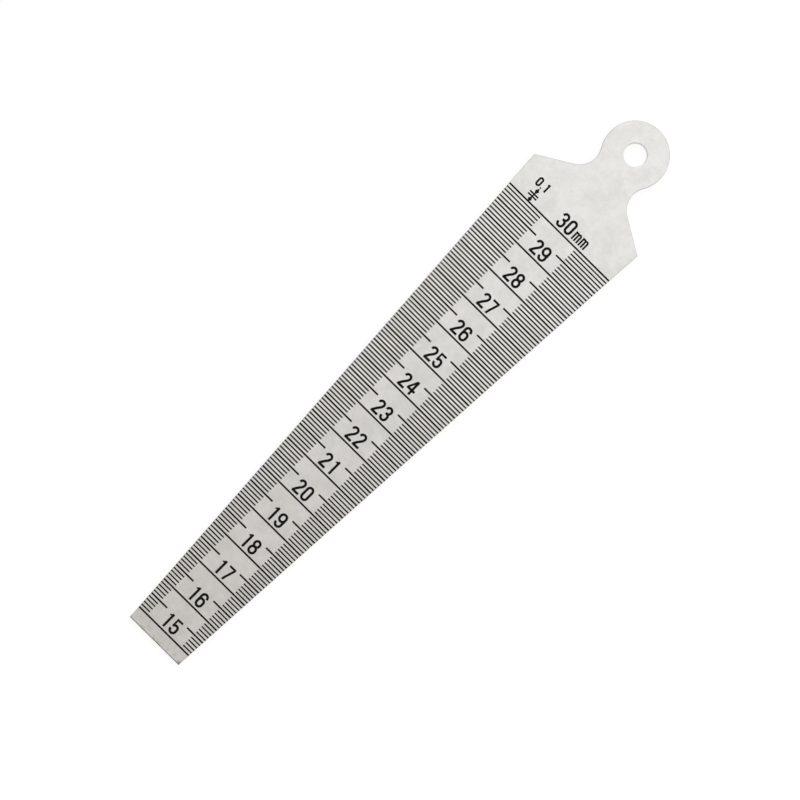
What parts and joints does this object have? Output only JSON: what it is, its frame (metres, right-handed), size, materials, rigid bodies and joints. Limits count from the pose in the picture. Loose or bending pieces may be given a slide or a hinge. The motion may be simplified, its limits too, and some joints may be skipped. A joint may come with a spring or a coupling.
{
  "type": "taper gauge",
  "caption": "Flat satin steel taper gauge: a long wedge blade with black etched millimetre graduations, a waisted neck and a round tab with a hanging hole.",
  "frame": {"origin": "middle of the gauge's box at its base: centred across and along the gauge, on the plain back face", "axes": "+Z out of the graduated face, +Y along the blade's axis from the narrow end to the tab, +X to the right of the scale as it is read with the tab up"},
  "size_m": [0.031, 0.1535, 0.0012],
  "materials": {
    "steel": "satin, fine lengthwise grain",
    "black_filling": "matte black filling of the etched lines"
  },
  "bodies": {
    "root": {"blade": "steel", "graduations": "black_filling"}
  },
  "joints": []
}
